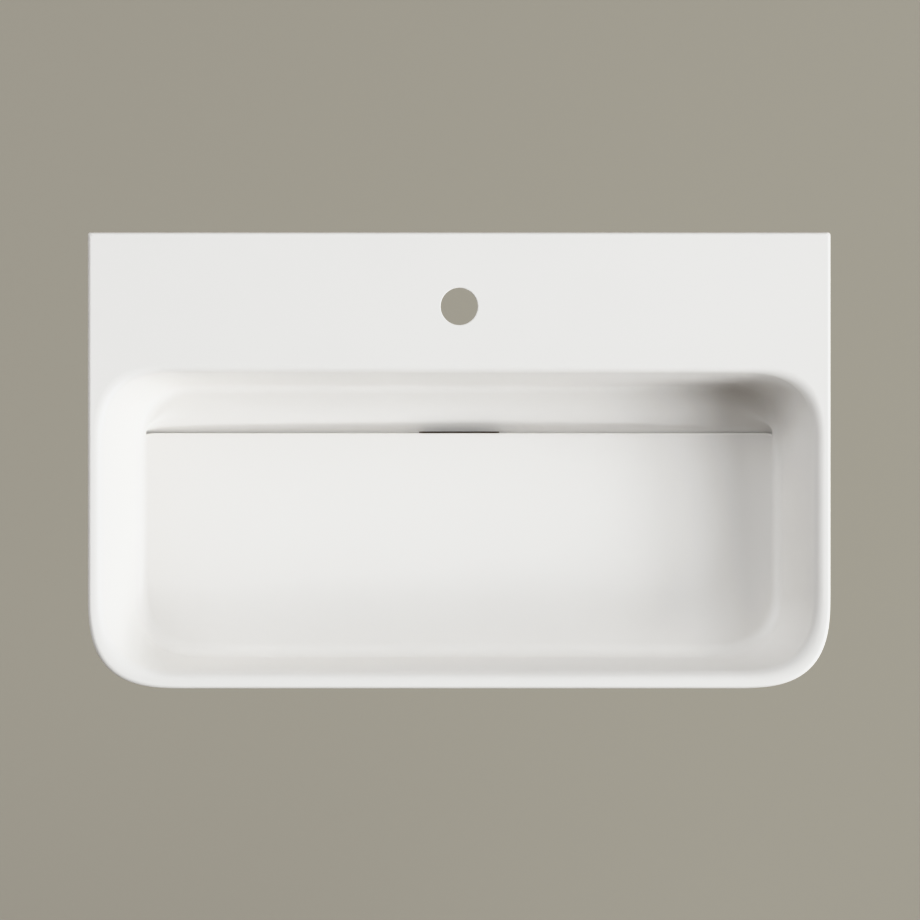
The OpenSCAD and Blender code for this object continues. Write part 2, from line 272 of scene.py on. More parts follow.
@dataclass(frozen=True)
class WhiteGlaze:
    """Fired white glaze over pale clay, ground bare where the back meets the wall, and darkened in the
    slot and the sump as painted shade.
    """

    ceramic: "Ceramic"
    white: Colour = (0.88, 0.86, 0.834)
    pooled: Colour = (0.868, 0.848, 0.823)
    clay: Colour = (0.68, 0.62, 0.53)
    clay_dark: Colour = (0.54, 0.485, 0.405)
    # Dark colour painted into the slot and the sump: painted shade in the recesses.
    water_marks_and_slot_shade: Colour = (0.26, 0.215, 0.175)
    roughness: float = 0.42
    slot_shade_roughness: float = 0.3
    bare_roughness: float = 0.82
    bare_from_mm: float = -0.35
    cloud_mm: float = 160.0
    drift_mm: float = 70.0
    peel_mm: float = 3.2
    grain_mm: float = 4.0
    stroke_mm: float = 2.2
    grit_mm: float = 0.7
    ragged_mm: float = 5.0
    ragged_depth_mm: float = 0.2
    drift_relief_mm: float = 0.12
    peel_relief_mm: float = 0.004
    bare_relief_mm: float = 0.12
    # Extent of the painted shade in the slot and the sump.
    slot_shade_reach_mm: float = 201.0
    slot_shade_floor_mm: float = -9.0
    sump_shade_floor_mm: float = -16.0
    shade_roof_mm: float = 6.0

    def slot_shade_zone(self, board: NodeBoard) -> Wire:
        """Mark the slot and the sump, whose glaze is darkened as painted shade.

        Args:
            board: The material's nodes.

        Returns:
            1 inside them and 0 elsewhere.
        """
        x, y, z = (board.axis(name) / MM for name in "XYZ")
        off = y + self.ceramic.outlet_reach
        sump_r = self.ceramic.sump_r + 0.3
        sump = 1.0 - (x * x + off * off).step(sump_r ** 2, (sump_r + 0.6) ** 2)
        half = self.ceramic.slot_width / 2
        across = 1.0 - (x * x).step(half ** 2, (half + 0.5) ** 2)
        reach = y * -1.0
        mouth = self.ceramic.lip_reach - self.ceramic.slot_lead
        along = reach.step(mouth - 0.1, mouth + 0.1)
        far = reach.step(self.slot_shade_reach_mm - 1.0, self.slot_shade_reach_mm)
        over = z.step(self.slot_shade_floor_mm - 0.5, self.slot_shade_floor_mm)
        slot = across * along * (1.0 - far) * over
        level = z.step(self.sump_shade_floor_mm - 1.0, self.sump_shade_floor_mm)
        level = level * (1.0 - z.step(self.shade_roof_mm, self.shade_roof_mm + 1.0))
        return (sump + slot * (1.0 - sump)) * level

    def make(self) -> bpy.types.Material:
        """Build the material.

        Returns:
            The material.
        """
        board = NodeBoard("white_glaze")
        cloud = board.noise(self.cloud_mm, 2.0)
        peel = board.noise(self.peel_mm, 2.0, 0.45)
        drift = board.noise(self.drift_mm, 1.0)
        grit = board.noise(self.grit_mm, 3.0, 0.7)
        grain = board.noise(self.grain_mm, 4.0, 0.65)
        strokes = board.noise(self.stroke_mm, 3.0, 0.6, (1.0, 1.0, 0.12))
        torn = (board.noise(self.ragged_mm, 3.0) - 0.5) * self.ragged_depth_mm
        ragged = board.axis("Y") / MM + torn
        bare = ragged.step(self.bare_from_mm - 0.1, self.bare_from_mm + 0.1)
        glaze = board.tint(cloud.step(0.35, 0.75), self.white, self.pooled)
        clay = board.tint(grain.step(0.3, 0.7), self.clay, self.clay_dark)
        dust = board.tint(strokes.step(0.45, 0.7) * 0.5, clay, self.clay)
        # Painted shade: the slot and the sump are darkened towards the dark colour, and their glaze is
        # made rougher.
        slot_shade = self.slot_shade_zone(board)
        body = board.tint(bare, glaze, dust)
        shine = self.roughness + (cloud - 0.5) * 0.08 + (grit - 0.5) * 0.02
        shine = shine + slot_shade * self.slot_shade_roughness
        smooth = board.bump(drift, self.drift_relief_mm)
        peeled = board.bump(peel * (1.0 - bare), self.peel_relief_mm, smooth)
        rough = board.bump((grain * 0.6 + grit * 0.4) * bare, self.bare_relief_mm, peeled)
        return board.finish({
            "Base Color": board.tint(slot_shade * (0.8 + grain * 0.3), body, self.water_marks_and_slot_shade),
            "Roughness": shine * (1.0 - bare) + self.bare_roughness * bare,
            "IOR": 1.5,
            "Normal": rough,
        })


@dataclass(frozen=True)
class BrightChrome:
    """Chrome plate over turned brass, with turning lines and water marks."""

    bright: Colour = (0.80, 0.81, 0.83)
    dull: Colour = (0.66, 0.67, 0.68)
    roughness: float = 0.10
    turning_mm: float = 9.0
    marks_mm: float = 7.0
    spots_mm: float = 1.6

    def make(self) -> bpy.types.Material:
        """Build the material.

        Returns:
            The material.
        """
        board = NodeBoard("bright_chrome")
        turning = board.noise(self.turning_mm, 3.0, 0.6, (1.0, 1.0, 30.0))
        marks = board.noise(self.marks_mm, 4.0, 0.6)
        spots = board.noise(self.spots_mm, 2.0, 0.5)
        water_marks_and_slot_shade = marks.step(0.52, 0.72)
        speck = spots.step(0.66, 0.72) * water_marks_and_slot_shade
        return board.finish({
            "Base Color": board.tint(water_marks_and_slot_shade * 0.5 + speck * 0.4, self.bright, self.dull),
            "Metallic": 1.0,
            "Roughness": self.roughness + water_marks_and_slot_shade * 0.12 + speck * 0.2 + (turning - 0.5) * 0.06,
            "Normal": board.bump(turning, 0.01, board.bump(marks, 0.02)),
        })


@dataclass(frozen=True)
class SealRubber:
    """Moulded black rubber with a faint bloom."""

    black: Colour = (0.020, 0.020, 0.022)
    bloom: Colour = (0.075, 0.074, 0.072)
    roughness: float = 0.58
    dust_mm: float = 6.0
    pores_mm: float = 0.5

    def make(self) -> bpy.types.Material:
        """Build the material.

        Returns:
            The material.
        """
        board = NodeBoard("seal_rubber")
        dust = board.noise(self.dust_mm, 5.0, 0.65)
        pores = board.noise(self.pores_mm, 2.0, 0.6)
        chalk = dust.step(0.42, 0.80)
        return board.finish({
            "Base Color": board.tint(chalk, self.black, self.bloom),
            "Roughness": self.roughness + chalk * 0.25,
            "IOR": 1.45,
            "Normal": board.bump(pores, 0.03, board.bump(dust, 0.05)),
        })


@dataclass(frozen=True)
class MouldedPlastic:
    """Injection-moulded plastic with a fine spark grain."""

    name: str
    light: Colour
    shade: Colour
    roughness: float
    flow_mm: float
    grain_mm: float = 0.45
    scuff_mm: float = 3.0

    def make(self) -> bpy.types.Material:
        """Build the material.

        Returns:
            The material.
        """
        board = NodeBoard(self.name)
        flow = board.noise(self.flow_mm, 3.0, 0.55, (1.0, 1.0, 0.4))
        grain = board.noise(self.grain_mm, 2.0, 0.6)
        scuff = board.noise(self.scuff_mm, 4.0, 0.7)
        worn = scuff.step(0.58, 0.75)
        return board.finish({
            "Base Color": board.tint(flow.step(0.3, 0.75), self.light, self.shade),
            "Roughness": self.roughness + worn * 0.15 + (grain - 0.5) * 0.08,
            "IOR": 1.49,
            "Subsurface Weight": 0.12,
            "Subsurface Radius": (1.0, 0.9, 0.8),
            "Subsurface Scale": 0.0012,
            "Normal": board.bump(grain, 0.012, board.bump(flow, 0.03)),
        })


@dataclass(frozen=True)
class StudioPaper:
    """Seamless greige background paper."""

    colour: Colour = (0.378, 0.351, 0.296)
    cloud_mm: float = 900.0
    cloud_shade: float = 0.985

    def make(self) -> bpy.types.Material:
        """Build the material.

        Returns:
            The material.
        """
        board = NodeBoard("studio_paper")
        cloud = board.noise(self.cloud_mm, 2.0)
        shade = tuple(c * self.cloud_shade for c in self.colour)
        return board.finish({
            "Base Color": board.tint(cloud.step(0.3, 0.7), self.colour, shade),
            "Roughness": 0.92,
            "Specular IOR Level": 0.15,
        })


# Mesh work


def new_object(name: str, data: bpy.types.ID) -> bpy.types.Object:
    """Make an object and link it to the scene.

    Args:
        name: Name of the object.
        data: Its mesh, light or camera.

    Returns:
        The object.
    """
    made = bpy.data.objects.new(name, data)
    bpy.context.scene.collection.objects.link(made)
    return made


class Blank:
    """Points and faces in millimetres, turned into one Blender object."""

    def __init__(self) -> None:
        """Start with nothing."""
        self.points: list[Point] = []
        self.faces: list[tuple[int, ...]] = []

    def loft(self, rings: Sequence[Ring], closed: bool = False) -> "Blank":
        """Skin a stack of rings with the same number of points.

        Args:
            rings: The rings, in order.
            closed: Whether the last ring joins the first, or both are filled.

        Returns:
            This blank.
        """
        base = len(self.points)
        count = len(rings[0])
        for ring in rings:
            self.points.extend(ring)
        for j in range(len(rings) if closed else len(rings) - 1):
            low = base + j * count
            high = base + (j + 1) % len(rings) * count
            for i in range(count):
                k = (i + 1) % count
                self.faces.append((low + i, low + k, high + k, high + i))
        if not closed:
            last = base + (len(rings) - 1) * count
            self.faces.append(tuple(base + i for i in reversed(range(count))))
            self.faces.append(tuple(last + i for i in range(count)))
        return self

    def turn(self, profile: Sequence[Flat], steps: int = 128,
             wave: Callable[[float, float, float], float] | None = None) -> "Blank":
        """Turn a closed profile about Z.

        Args:
            profile: Radius and height of each point of the profile.
            steps: Number of steps round the axis.
            wave: Gives a point's radius from its radius, height and turn share.

        Returns:
            This blank.
        """
        rings: list[Ring] = []
        for i in range(steps):
            turn = 2.0 * math.pi * i / steps
            ring = []
            for radius, height in profile:
                r = wave(radius, height, i / steps) if wave else radius
                ring.append((r * math.cos(turn), r * math.sin(turn), height))
            rings.append(ring)
        return self.loft(rings, closed=True)

    def prism(self, ring: Sequence[Flat], low: float, high: float) -> "Blank":
        """Extrude a flat outline along Z.

        Args:
            ring: The outline.
            low: Lower height.
            high: Upper height.

        Returns:
            This blank.
        """
        return self.loft([[(x, y, z) for x, y in ring] for z in (low, high)])

    def object(self, name: str, place: Matrix | None = None) -> bpy.types.Object:
        """Make a closed mesh object with its place in its mesh.

        Args:
            name: Name of the object.
            place: Transform in millimetres.

        Returns:
            The object, linked to the scene.
        """
        move = place or Matrix.Identity(4)
        mesh = bpy.data.meshes.new(name)
        mesh.from_pydata([(move @ Vector(p)) * MM for p in self.points], [], self.faces)
        work = bmesh.new()
        work.from_mesh(mesh)
        bmesh.ops.remove_doubles(work, verts=work.verts, dist=1e-7)
        bmesh.ops.recalc_face_normals(work, faces=work.faces)
        work.to_mesh(mesh)
        work.free()
        return new_object(name, mesh)


def settle(piece: bpy.types.Object) -> None:
    """Apply the modifiers of a piece to its mesh.

    Args:
        piece: The piece.
    """
    graph = bpy.context.evaluated_depsgraph_get()
    mesh = bpy.data.meshes.new_from_object(piece.evaluated_get(graph))
    old = piece.data
    piece.modifiers.clear()
    piece.data = mesh
    mesh.name = piece.name
    bpy.data.meshes.remove(old)


def machine(piece: bpy.types.Object, tool: bpy.types.Object, cut: Cut) -> None:
    """Change a piece with a tool mesh, then put the tool away.

    Args:
        piece: The piece.
        tool: The tool mesh.
        cut: What the tool does.
    """
    step = piece.modifiers.new("step", "BOOLEAN")
    step.operation = cut.value
    step.solver = "EXACT"
    step.object = tool
    settle(piece)
    mesh = tool.data
    bpy.data.objects.remove(tool)
    bpy.data.meshes.remove(mesh)


def soften(piece: bpy.types.Object, crease_deg: float = 32.0) -> None:
    """Shade a piece smoothly, with sharp edges kept and flat faces kept flat.

    Args:
        piece: The piece.
        crease_deg: Edges that bend more than this stay sharp.
    """
    piece.data.shade_smooth()
    piece.data.set_sharp_from_angle(angle=math.radians(crease_deg))
    even = piece.modifiers.new("even_normals", "WEIGHTED_NORMAL")
    even.keep_sharp = True
    even.weight = 60


def arc(centre: Flat, radius: float, start: float, end: float, steps: int = 5) -> list[Flat]:
    """Points on an arc.

    Args:
        centre: Centre of the arc.
        radius: Radius.
        start: First angle in degrees.
        end: Last angle in degrees.
        steps: Number of steps.

    Returns:
        The points, both ends included.
    """
    angles = [math.radians(start + (end - start) * k / steps) for k in range(steps + 1)]
    return [(centre[0] + radius * math.cos(a), centre[1] + radius * math.sin(a)) for a in angles]


def six_round(radius: float) -> list[Flat]:
    """Six points evenly round a circle."""
    turns = [math.radians(60 * k) for k in range(6)]
    return [(radius * math.cos(a), radius * math.sin(a)) for a in turns]


def rounded_profile(corners: Sequence[tuple[float, float, float]], steps: int = 5) -> list[Flat]:
    """Closed profile with rounded corners.

    Args:
        corners: Radius from the axis, height and rounding of each corner.
        steps: Steps on each rounding.

    Returns:
        The points of the profile.
    """
    out: list[Flat] = []
    count = len(corners)
    for i, (x, z, r) in enumerate(corners):
        here = Vector((x, z))
        if r <= 0.0:
            out.append((x, z))
            continue
        back = (Vector(corners[i - 1][:2]) - here).normalized()
        ahead = (Vector(corners[(i + 1) % count][:2]) - here).normalized()
        half = back.angle(ahead) / 2.0
        reach = r / math.tan(half)
        start, end = here + back * reach, here + ahead * reach
        for k in range(steps + 1):
            s = k / steps
            p = (1 - s) ** 2 * start + 2 * s * (1 - s) * here + s * s * end
            out.append((p.x, p.y))
    return out


# The ceramic


class OutlinePoint(NamedTuple):
    """A point of an outline, with its share of the front and of the rear side."""

    x: float
    y: float
    front: float
    rear: float


class Corner(NamedTuple):
    """A superelliptic corner: its length along both sides and its power."""

    size: float
    power: float


def signed_power(value: float, power: float) -> float:
    """Power that keeps the sign of its base."""
    return math.copysign(abs(value) ** power, value)


def blend(start: float, end: float, share: float) -> float:
    """Value between two values."""
    return start + (end - start) * share


def outline(half: float, rear: float, front: float, rear_corner: Corner,
            front_corner: Corner, steps: int) -> list[OutlinePoint]:
    """Closed outline, counter-clockwise seen from above.

    Args:
        half: Half of the width.
        rear: Y of the rear side.
        front: Y of the front side.
        rear_corner: Shape of the two rear corners.
        front_corner: Shape of the two front corners.
        steps: Steps on each corner.

    Returns:
        The points, from the front right corner.
    """
    plan = (
        (half - front_corner.size, front + front_corner.size, front_corner, -90.0, True),
        (half - rear_corner.size, rear - rear_corner.size, rear_corner, 0.0, False),
        (rear_corner.size - half, rear - rear_corner.size, rear_corner, 90.0, False),
        (front_corner.size - half, front + front_corner.size, front_corner, 180.0, True),
    )
    out: list[OutlinePoint] = []
    for cx, cy, shape, start, is_front in plan:
        for k in range(steps + 1):
            a = math.radians(start + 90.0 * k / steps)
            share = math.sin(a) ** 2
            x = cx + shape.size * signed_power(math.cos(a), 2.0 / shape.power)
            y = cy + shape.size * signed_power(math.sin(a), 2.0 / shape.power)
            out.append(OutlinePoint(x, y, share * is_front, share * (not is_front)))
    return out


def bend(start: Flat, corner: Flat, end: Flat, steps: int) -> list[Flat]:
    """Quadratic bend round a corner, without its first point.

    Args:
        start: Where the bend starts.
        corner: The corner that it rounds.
        end: Where the bend ends.
        steps: Number of steps.

    Returns:
        The points.
    """
    out = []
    for k in range(1, steps + 1):
        s = k / steps
        weights = ((1 - s) ** 2, 2 * s * (1 - s), s * s)
        trio = (start, corner, end)
        out.append(tuple(sum(w * p[n] for w, p in zip(weights, trio)) for n in (0, 1)))
    return out


def toward(start: Flat, end: Flat, distance: float) -> Flat:
    """Point at a distance from one point towards another."""
    span = math.hypot(end[0] - start[0], end[1] - start[1])
    return tuple(a + (b - a) * distance / span for a, b in zip(start, end))


def out_of_wall(x: float) -> Matrix:
    """Place on the wall whose own Z points out of the wall."""
    return Matrix.Translation((x, 0.0, 0.0)) @ Euler((math.pi / 2, 0.0, 0.0)).to_matrix().to_4x4()


@dataclass
class Ceramic:
    """The basin's ceramic body, carved as one closed mesh."""

    width: float = 700.0
    reach: float = 430.0
    height: float = 145.0
    corner: Corner = Corner(92.5, 3.0)
    corner_ease: float = 20.0
    edge_r: float = 3.0
    wall_corner: Corner = Corner(3.0, 2.0)
    foot_r: float = 1.5
    rim_z: float = 100.0
    wall: float = 12.0
    deck: float = 14.0
    rim_band: float = 16.0
    side_lean: float = 0.56
    front_lean: float = 0.42
    lean_bend: float = 14.0
    hollow_corner: Corner = Corner(18.0, 2.0)
    foot_bend: float = 22.0
    skirt_bend: float = 16.0
    skirt_reach: float = 290.0
    skirt_lean: float = 4.0

    deck_reach: float = 125.0
    rim_side: float = 5.0
    rim_front: float = 5.5
    side_run: float = 52.0
    front_run: float = 36.5
    rear_run: float = 28.0
    bowl_roll: float = 12.0
    deck_roll: float = 8.0
    fillet: float = 14.0
    rear_fillet: float = 9.0
    bowl_front: float = 85.0
    bowl_rear: float = 78.0
    floor_front: float = 54.0
    floor_rear: float = 48.0
    bowl_power: float = 3.0
    floor_power: float = 2.2
    lip_depth: float = 88.0
    floor_fall: float = 14.0

    lip_reach: float = 189.5
    lip_length: float = 590.0
    lip_r: float = 2.0
    lip_edge: float = 5.0
    lip_hook: float = 1.0
    hook_length: float = 9.0
    drop_end: float = 8.0
    drop_mid: float = 15.5
    groove: float = 4.5
    groove_step: float = 1.2
    groove_lead: float = 1.2
    crease_reach: float = 167.0
    crease_corner: float = 40.0
    crease_power: float = 1.6
    crease_blend: float = 11.0

    slot_width: float = 75.0
    slot_height: float = 13.2
    slot_slope: float = 5.0
    slot_drop: float = 1.7
    slot_lead: float = 1.5
    outlet_reach: float = 235.0
    sump_r: float = 40.0
    sump_depth: float = 118.0
    outlet_r: float = 23.0
    sump_round: float = 3.0
    outlet_round: float = 1.0
    boss_fillet: float = 7.0
    boss_round: float = 1.5
    boss_root: float = 1.0
    rib_ease: float = 0.5
    rib_lift: float = 1.0

    tap_reach: float = 70.0
    tap_r: float = 17.5
    tap_round: float = 0.9
    fix_spacing: float = 280.0
    fix_hole_r: float = 10.0

    corner_steps: int = 26
    profile_steps: int = 10
    turn_steps: int = 4
    trough_steps: int = 72
    past: float = 6.0

    @property
    def floor_front_reach(self) -> float:
        """Reach of the front edge of the bowl's floor."""
        return self.reach - self.rim_front - self.front_run

    @property
    def floor_slope(self) -> float:
        """Fall of the bowl's floor per millimetre of reach."""
        return self.floor_fall / (self.floor_front_reach - self.lip_reach)

    @property
    def boss_foot(self) -> float:
        """Depth of the flat foot of the boss under the outlet."""
        return self.sump_depth + self.wall

    def floor_depth(self, reach: float) -> float:
        """Depth of the floor's plane at a reach."""
        return self.lip_depth - self.floor_slope * (reach - self.lip_reach)

    def lean_inset(self, lean: float, depth: float) -> float:
        """Inset of a leaning outer face at a depth.

        Args:
            lean: Inset per millimetre once the face leans.
            depth: Depth.

        Returns:
            The inset.
        """
        def arm(d: float) -> float:
            """Smooth ramp that starts at the rim's band."""
            return (math.hypot(d - self.rim_band, self.lean_bend) + d - self.rim_band) / 2
        return lean * (arm(depth) - arm(0.0))

    def outer_stations(self) -> list[tuple[float, float, float]]:
        """Place the rings of the outer face, from the rim down.

        Returns:
            Front inset, side inset and depth of each ring.
        """
        under = self.floor_depth(self.floor_front_reach) + self.wall
        foot = (self.lean_inset(self.front_lean, under), under)
        skirt = self.reach - self.skirt_reach
        top = (skirt, self.floor_depth(self.skirt_reach) + self.wall)
        end = (skirt + self.skirt_lean, self.height)
        wall_end = under - self.foot_bend
        start = (self.lean_inset(self.front_lean, wall_end), wall_end)
        profile: list[Flat] = []
        count = 2 * self.profile_steps
        for k in range(1, count + 1):
            depth = blend(self.edge_r, wall_end, k / count)
            profile.append((self.lean_inset(self.front_lean, depth), depth))
        profile += bend(start, foot, toward(foot, top, self.foot_bend), self.profile_steps)
        profile.append(toward(top, foot, self.skirt_bend))
        profile += bend(toward(top, foot, self.skirt_bend), top,
                        toward(top, end, self.skirt_bend), self.profile_steps)
        profile.append((end[0], end[1] - self.foot_r))
        stations = []
        for k in range(self.profile_steps + 1):
            a = math.radians(90.0 * k / self.profile_steps)
            inset = self.edge_r * (1 - math.sin(a))
            stations.append((inset, inset, self.edge_r * (1 - math.cos(a))))
        stations += [(p[0], self.lean_inset(self.side_lean, p[1]), p[1]) for p in profile]
        return stations

    def outer_ring(self, front_inset: float, side_inset: float, depth: float,
                   rear_inset: float) -> Ring:
        """One ring of the outer face.

        Args:
            front_inset: Inset of the front side.
            side_inset: Inset of the left and right sides.
            depth: Depth of the ring.
            rear_inset: Inset of the side at the wall.

        Returns:
            The ring's points.
        """
        front_corner = Corner(self.corner.size - self.corner_ease * depth / self.height,
                              self.corner.power)
        plan = outline(self.width / 2 - side_inset, -rear_inset, front_inset - self.reach,
                       self.wall_corner, front_corner, self.corner_steps)
        return [(p.x, p.y, self.rim_z - depth) for p in plan]

    def bowl_wall(self, run: float, depth: float, roll: float, fillet: float) -> list[Flat]:
        """Profile of a bowl wall: a roll, a straight slope and a hollow.

        Args:
            run: Horizontal run of the wall.
            depth: Depth at its foot.
            roll: Radius of the roll at the rim.
            fillet: Radius of the hollow at the foot.

        Returns:
            Inset and depth of each point.
        """
        radii = roll + fillet
        lean = math.atan2(depth - radii, run) + math.asin(radii / math.hypot(run, depth - radii))
        steps = self.profile_steps
        rolled = [(roll * math.sin(lean * k / steps), roll * (1 - math.cos(lean * k / steps)))
                  for k in range(steps + 1)]
        hollow = [(run - fillet * math.sin(lean * (1 - k / steps)),
                   depth - fillet * (1 - math.cos(lean * (1 - k / steps))))
                  for k in range(steps + 1)]
        slope = [(blend(rolled[-1][0], hollow[0][0], k / steps),
                  blend(rolled[-1][1], hollow[0][1], k / steps)) for k in range(1, steps)]
        return rolled + slope + hollow

    def bowl_rings(self) -> list[Ring]:
        """Place the rings of the bowl, from the rim to the edge of its floor.

        Returns:
            The bowl's rings.
        """
        front_depth = self.floor_depth(self.floor_front_reach)
        rear_depth = self.floor_depth(self.deck_reach + self.rear_run)
        side = self.bowl_wall(self.side_run, self.lip_depth, self.bowl_roll, self.fillet)
        front = self.bowl_wall(self.front_run, front_depth, self.bowl_roll, self.fillet)
        rear = self.bowl_wall(self.rear_run, rear_depth, self.deck_roll, self.rear_fillet)
        rings = []
        for s, f, r in zip(side, front, rear):
            t = s[0] / self.side_run
            side_share = s[1] / self.lip_depth
            front_share = f[1] / front_depth - side_share
            rear_share = r[1] / rear_depth - side_share
            power = blend(self.bowl_power, self.floor_power, t)
            plan = outline(
                self.width / 2 - self.rim_side - s[0], -self.deck_reach - r[0],
                self.rim_front + f[0] - self.reach,
                Corner(blend(self.bowl_rear, self.floor_rear, t), power),
                Corner(blend(self.bowl_front, self.floor_front, t), power),
                self.corner_steps)
            rings.append([
                (p.x, p.y, self.rim_z - self.floor_depth(-p.y)
                 * (side_share + p.front * front_share + p.rear * rear_share))
                for p in plan])
        return rings

    def shell(self) -> Blank:
        """Skin the outer face and the bowl, which meet at the rim.

        Returns:
            The closed skin.
        """
        rings = []
        stations = self.outer_stations()
        foot = stations[-1]
        for k in range(self.turn_steps, 0, -1):
            a = math.radians(90.0 * k / self.turn_steps)
            inset = self.foot_r * (1 - math.cos(a))
            depth = foot[2] + self.foot_r * math.sin(a)
            side = self.lean_inset(self.side_lean, depth)
            rings.append(self.outer_ring(foot[0] + inset, side + inset, depth, inset))
        for station in reversed(stations):
            rear_inset = station[0] if station[2] < self.edge_r else 0.0
            rings.append(self.outer_ring(*station, rear_inset))
        return Blank().loft(rings + self.bowl_rings())

    def trough_depth(self, x: float) -> float:
        """Depth of the trough where it meets the lip."""
        return self.lip_depth + blend(self.drop_mid, self.drop_end, abs(x) / (self.lip_length / 2))

    def trough_end_share(self, x: float, length: float) -> float:
        """Share of the way through the last stretch before an end of the lip.

        Args:
            x: Place along the lip.
            length: Length of that stretch.

        Returns:
            Zero before the stretch and one at the end of the lip.
        """
        return min(1.0, max(0.0, (abs(x) - self.lip_length / 2 + length) / length))

    def trough_section(self, x: float) -> Ring:
        """Section of the trough, its groove and the lip's edge at one place.

        Args:
            x: Place along the lip.

        Returns:
            The section's points.
        """
        t = self.trough_end_share(x, self.crease_corner)
        hook = self.lip_hook * self.trough_end_share(x, self.hook_length) ** 2
        lip = self.lip_reach + hook
        curve = 1.0 - max(0.0, 1.0 - t ** self.crease_power) ** (1.0 / self.crease_power)
        crease = blend(self.crease_reach, self.lip_reach - self.lip_r, curve)
        soft = self.crease_blend * (1.0 - t) + 0.4
        corner = (-crease, -self.floor_depth(crease))
        low = (self.groove_lead - lip, -self.trough_depth(x))
        start = (soft - crease, 0.02 - self.floor_depth(crease - soft))
        end = toward(corner, low, soft)
        tilt = math.atan(self.floor_slope)
        centre = (-lip - self.lip_r,
                  -self.floor_depth(lip + self.lip_r) - self.lip_r / math.cos(tilt))
        nose = arc(centre, self.lip_r, 0.0, 90.0 - math.degrees(tilt), 7)
        under = -self.lip_depth - self.lip_edge
        back = -lip - self.groove
        top = self.past - self.lip_depth
        step = low[1] - self.groove_step
        section = [(start[0] + 1.2, top), start, *bend(start, corner, end, 8), low,
                   (low[0], step), (back, step), (back, under), (-lip, under), *nose,
                   (nose[-1][0], top)]
        return [(x, y, self.rim_z + z) for y, z in section]

    def trough(self) -> Blank:
        """Tool that cuts the trough behind and under the lip.

        Returns:
            The tool, lofted from section to section along the lip.
        """
        half = self.lip_length / 2
        places = [half * math.sin(math.pi * (k / self.trough_steps - 0.5))
                  for k in range(self.trough_steps + 1)]
        return Blank().loft([self.trough_section(x) for x in places])

    def hollow_ring(self, rear: float, front: float, depth: float, flare: float = 0.0) -> Ring:
        """Upright ring of a hollow.

        Args:
            rear: Reach of its rear side.
            front: Reach of its front side.
            depth: Depth of the ring.
            flare: How much wider it is on every side.

        Returns:
            The ring's points.
        """
        half = self.width / 2 - self.lean_inset(self.side_lean, depth) - self.wall + flare
        plan = outline(half, flare - rear, -front - flare, self.hollow_corner,
                       self.hollow_corner, self.corner_steps // 3)
        return [(p.x, p.y, self.rim_z - depth) for p in plan]

    @property
    def rib_reach(self) -> float:
        """Reach of the front face of the wall in front of the trough."""
        return self.lip_reach + self.groove + self.wall

    def rear_hollow(self) -> Blank:
        """Tool for the hollow behind and below the bowl, open downward.

        Returns:
            The tool, whose roof follows the foot of the bowl's rear wall.
        """
        front = self.skirt_reach - self.wall
        rib_depth = self.trough_depth(0.0) + self.wall
        rings = [self.hollow_ring(self.wall, front, self.height + self.past, self.foot_r)]
        for k in range(self.turn_steps + 1):
            a = math.radians(90.0 * k / self.turn_steps)
            flare = self.foot_r * (1 - math.sin(a))
            depth = self.height - self.foot_r * (1 - math.cos(a))
            rings.append(self.hollow_ring(self.wall, front, depth, flare))
        rear_foot = self.deck_reach + self.rear_run
        rear_depth = self.floor_depth(rear_foot)
        turn = self.rear_fillet + self.wall
        rings += [
            self.hollow_ring(self.wall, front, rib_depth + self.rib_ease),
            self.hollow_ring(self.wall, self.rib_reach, rib_depth),
            self.hollow_ring(self.wall, self.lip_reach - self.slot_lead,
                             rib_depth - self.rib_lift),
        ]
        for k in range(self.turn_steps + 1):
            a = math.radians(90.0 * k / self.turn_steps)
            rings.append(self.hollow_ring(self.wall, rear_foot - turn * math.sin(a),
                                          rear_depth - self.rear_fillet + turn * math.cos(a)))
        rings.append(self.hollow_ring(self.wall, self.deck_reach + self.deck_roll - self.wall,
                                      self.deck))
        return Blank().loft(rings)

    def front_hollow(self) -> Blank:
        """Tool for the hollow under the floor, in front of the trough.

        Returns:
            The tool, whose roof follows the floor.
        """
        front = self.skirt_reach - self.wall
        rib_depth = self.trough_depth(0.0) + self.wall
        base = self.hollow_ring(self.rib_reach, front, rib_depth + self.past / 2)
        roof = self.hollow_ring(self.rib_reach, front, self.floor_depth(self.rib_reach) + self.wall)
        lifted = [(x, y, self.rim_z - self.floor_depth(-y) - self.wall) for x, y, _ in roof]
        return Blank().loft([base, lifted])

    def boss(self) -> Blank:
        """Round boss round the sump, with a soft root.

        Returns:
            The boss, with its heights measured up from the rim.
        """
        r, fillet, low = self.sump_r + self.wall, self.boss_fillet, -self.boss_foot
        root = self.floor_depth(self.outlet_reach) + self.wall
        top = root - self.wall / 2
        flare = arc((r + fillet, -root - self.boss_root), fillet, 180.0, 90.0)
        foot = rounded_profile([(0.0, low, 0.0), (r, low, self.boss_round),
                                (r, -root - 2 * fillet, 0.0)])
        return Blank().turn([*foot, *flare, (r + fillet, -top), (0.0, -top)])

    def at_outlet(self, depth: float = 0.0) -> Matrix:
        """Place on the outlet's axis at a depth."""
        return Matrix.Translation((0.0, -self.outlet_reach, self.rim_z - depth))

    def sump_tools(self) -> list[Blank]:
        """Tools for the sump and for the outlet hole under it.

        Returns:
            The two tools, with their heights measured up from the rim.
        """
        roof = self.floor_depth(self.outlet_reach) + self.wall
        r, e = self.sump_r, self.outlet_round
        low, floor, wide = -self.boss_foot, -self.sump_depth, self.outlet_r + e
        sump = rounded_profile([(0.0, floor, 0.0), (r, floor, self.sump_round),
                                (r, -roof, 0.0), (0.0, -roof, 0.0)])
        hole = [(0.0, low - e), (wide, low - e), *arc((wide, low + e), e, 270.0, 180.0),
                *arc((wide, floor - e), e, 180.0, 90.0), (wide, floor + e), (0.0, floor + e)]
        return [Blank().turn(sump), Blank().turn(hole)]

